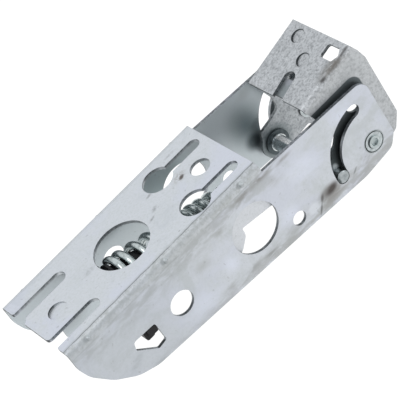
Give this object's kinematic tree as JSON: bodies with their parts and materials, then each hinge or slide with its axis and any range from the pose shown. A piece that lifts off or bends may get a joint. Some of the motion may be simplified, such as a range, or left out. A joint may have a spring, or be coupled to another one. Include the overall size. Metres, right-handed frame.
{
  "type": "refrigerator lid hinge",
  "caption": "Folded steel channel with a lid bracket on two side rivets, a cross pin running in curved slots and a coil spring inside that holds the lid up.",
  "frame": {"origin": "on the face plate's outer face, halfway between the side walls, between the big face hole and the keyholes", "axes": "+X along the channel towards the pivot end, +Z out of the face plate, the front side wall at -Y"},
  "size_m": [0.1667, 0.0508, 0.0521],
  "materials": {
    "zinc_sheet": "satin",
    "zinc_lid": "satin",
    "spring_steel": "satin",
    "pin_steel": "satin",
    "black_steel": "matte"
  },
  "bodies": {
    "base": {"housing": "zinc_sheet", "side_doubler": "zinc_sheet", "spring_anchor": "black_steel", "anchor_pin": "pin_steel", "pivot_rivet_front": "pin_steel", "pivot_washer_front": "zinc_lid", "pivot_rivet_rear": "pin_steel", "pivot_washer_rear": "zinc_lid"},
    "lid": {"lid_bracket": "zinc_lid", "lid_leaf": "zinc_lid", "follower_pin": "pin_steel", "pin_sleeve": "pin_steel", "pin_washer_front": "zinc_lid", "pin_washer_rear": "zinc_lid", "pin_ring": "zinc_lid"},
    "link": {"draw_link": "zinc_lid"},
    "spring_arm": {"spring_plug_lower": "black_steel", "main_spring": "spring_steel"},
    "spring_head": {"spring_plug_upper": "black_steel"}
  },
  "joints": [
    {"name": "lid_pivot", "type": "hinge", "parent": "base", "child": "lid", "pos_m": [0.0845, 0, -0.0346], "axis": [0, 1, 0], "range_deg": [0, 92], "stiffness_Nm_per_rad": 3},
    {"name": "link_on_pin", "type": "hinge", "parent": "lid", "child": "link", "pos_m": [0.06557, 0, -0.03626], "axis": [0, 1, 0], "range_deg": [-107, 0]},
    {"name": "spring_swing", "type": "hinge", "parent": "base", "child": "spring_arm", "pos_m": [-0.03397, 0, -0.01018], "axis": [0, 1, 0], "range_deg": [-12.5, 0]},
    {"name": "spring_stretch", "type": "slide", "parent": "spring_arm", "child": "spring_head", "axis": [0.9674, 0, -0.2534], "range_m": [0, 0.0151], "deforming": ["main_spring"]}
  ],
  "couplings": [
    {"joint": "link_on_pin", "follows": "lid_pivot", "ratio": -1.1524},
    {"joint": "spring_swing", "follows": "lid_pivot", "ratio": -0.13071},
    {"joint": "spring_stretch", "follows": "lid_pivot", "m_per_rad": 0.0091552}
  ]
}
